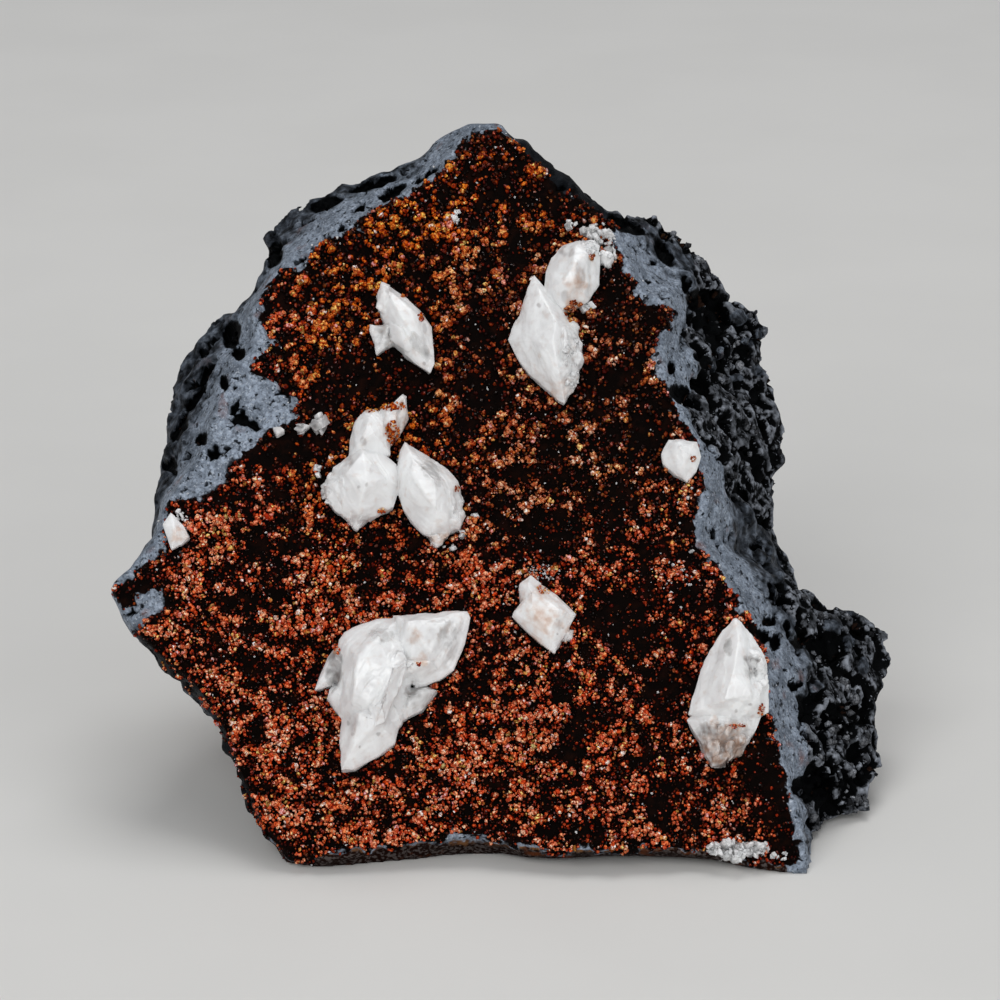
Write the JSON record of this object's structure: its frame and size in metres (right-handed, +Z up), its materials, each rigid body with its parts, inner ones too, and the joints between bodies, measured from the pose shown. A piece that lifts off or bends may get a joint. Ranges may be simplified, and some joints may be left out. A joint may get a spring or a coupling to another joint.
{
  "type": "calcite on limonite mineral specimen",
  "caption": "Hand-sized block of dark limonite whose flat leaning face is crusted with rust-orange grains and set with white dogtooth calcite crystals; it stands on its broken base.",
  "frame": {"origin": "on the surface the block rests on, under the middle of its bounding box", "axes": "+Z up, +X to the right of the druse face as seen from the front, the druse face looks towards -Y and up"},
  "size_m": [0.088, 0.0574, 0.07],
  "materials": {
    "limonite": "dull, dark brown-black iron oxide, slate grey where freshly broken",
    "calcite": "milky white, partly translucent crystal with a soft glassy shine",
    "limonite_grains": "fine rounded grains of rust-orange to ochre iron oxide"
  },
  "bodies": {
    "root": {"limonite_block": "limonite", "calcite_upper_left": "calcite", "calcite_upper_pair": "calcite", "calcite_middle_cluster": "calcite", "calcite_right_edge": "calcite", "calcite_lower_fan": "calcite", "calcite_small_rhomb": "calcite", "calcite_right_dogtooth": "calcite", "calcite_left_chip": "calcite", "calcite_upper_crust": "calcite", "calcite_lower_crust": "calcite"}
  },
  "joints": []
}
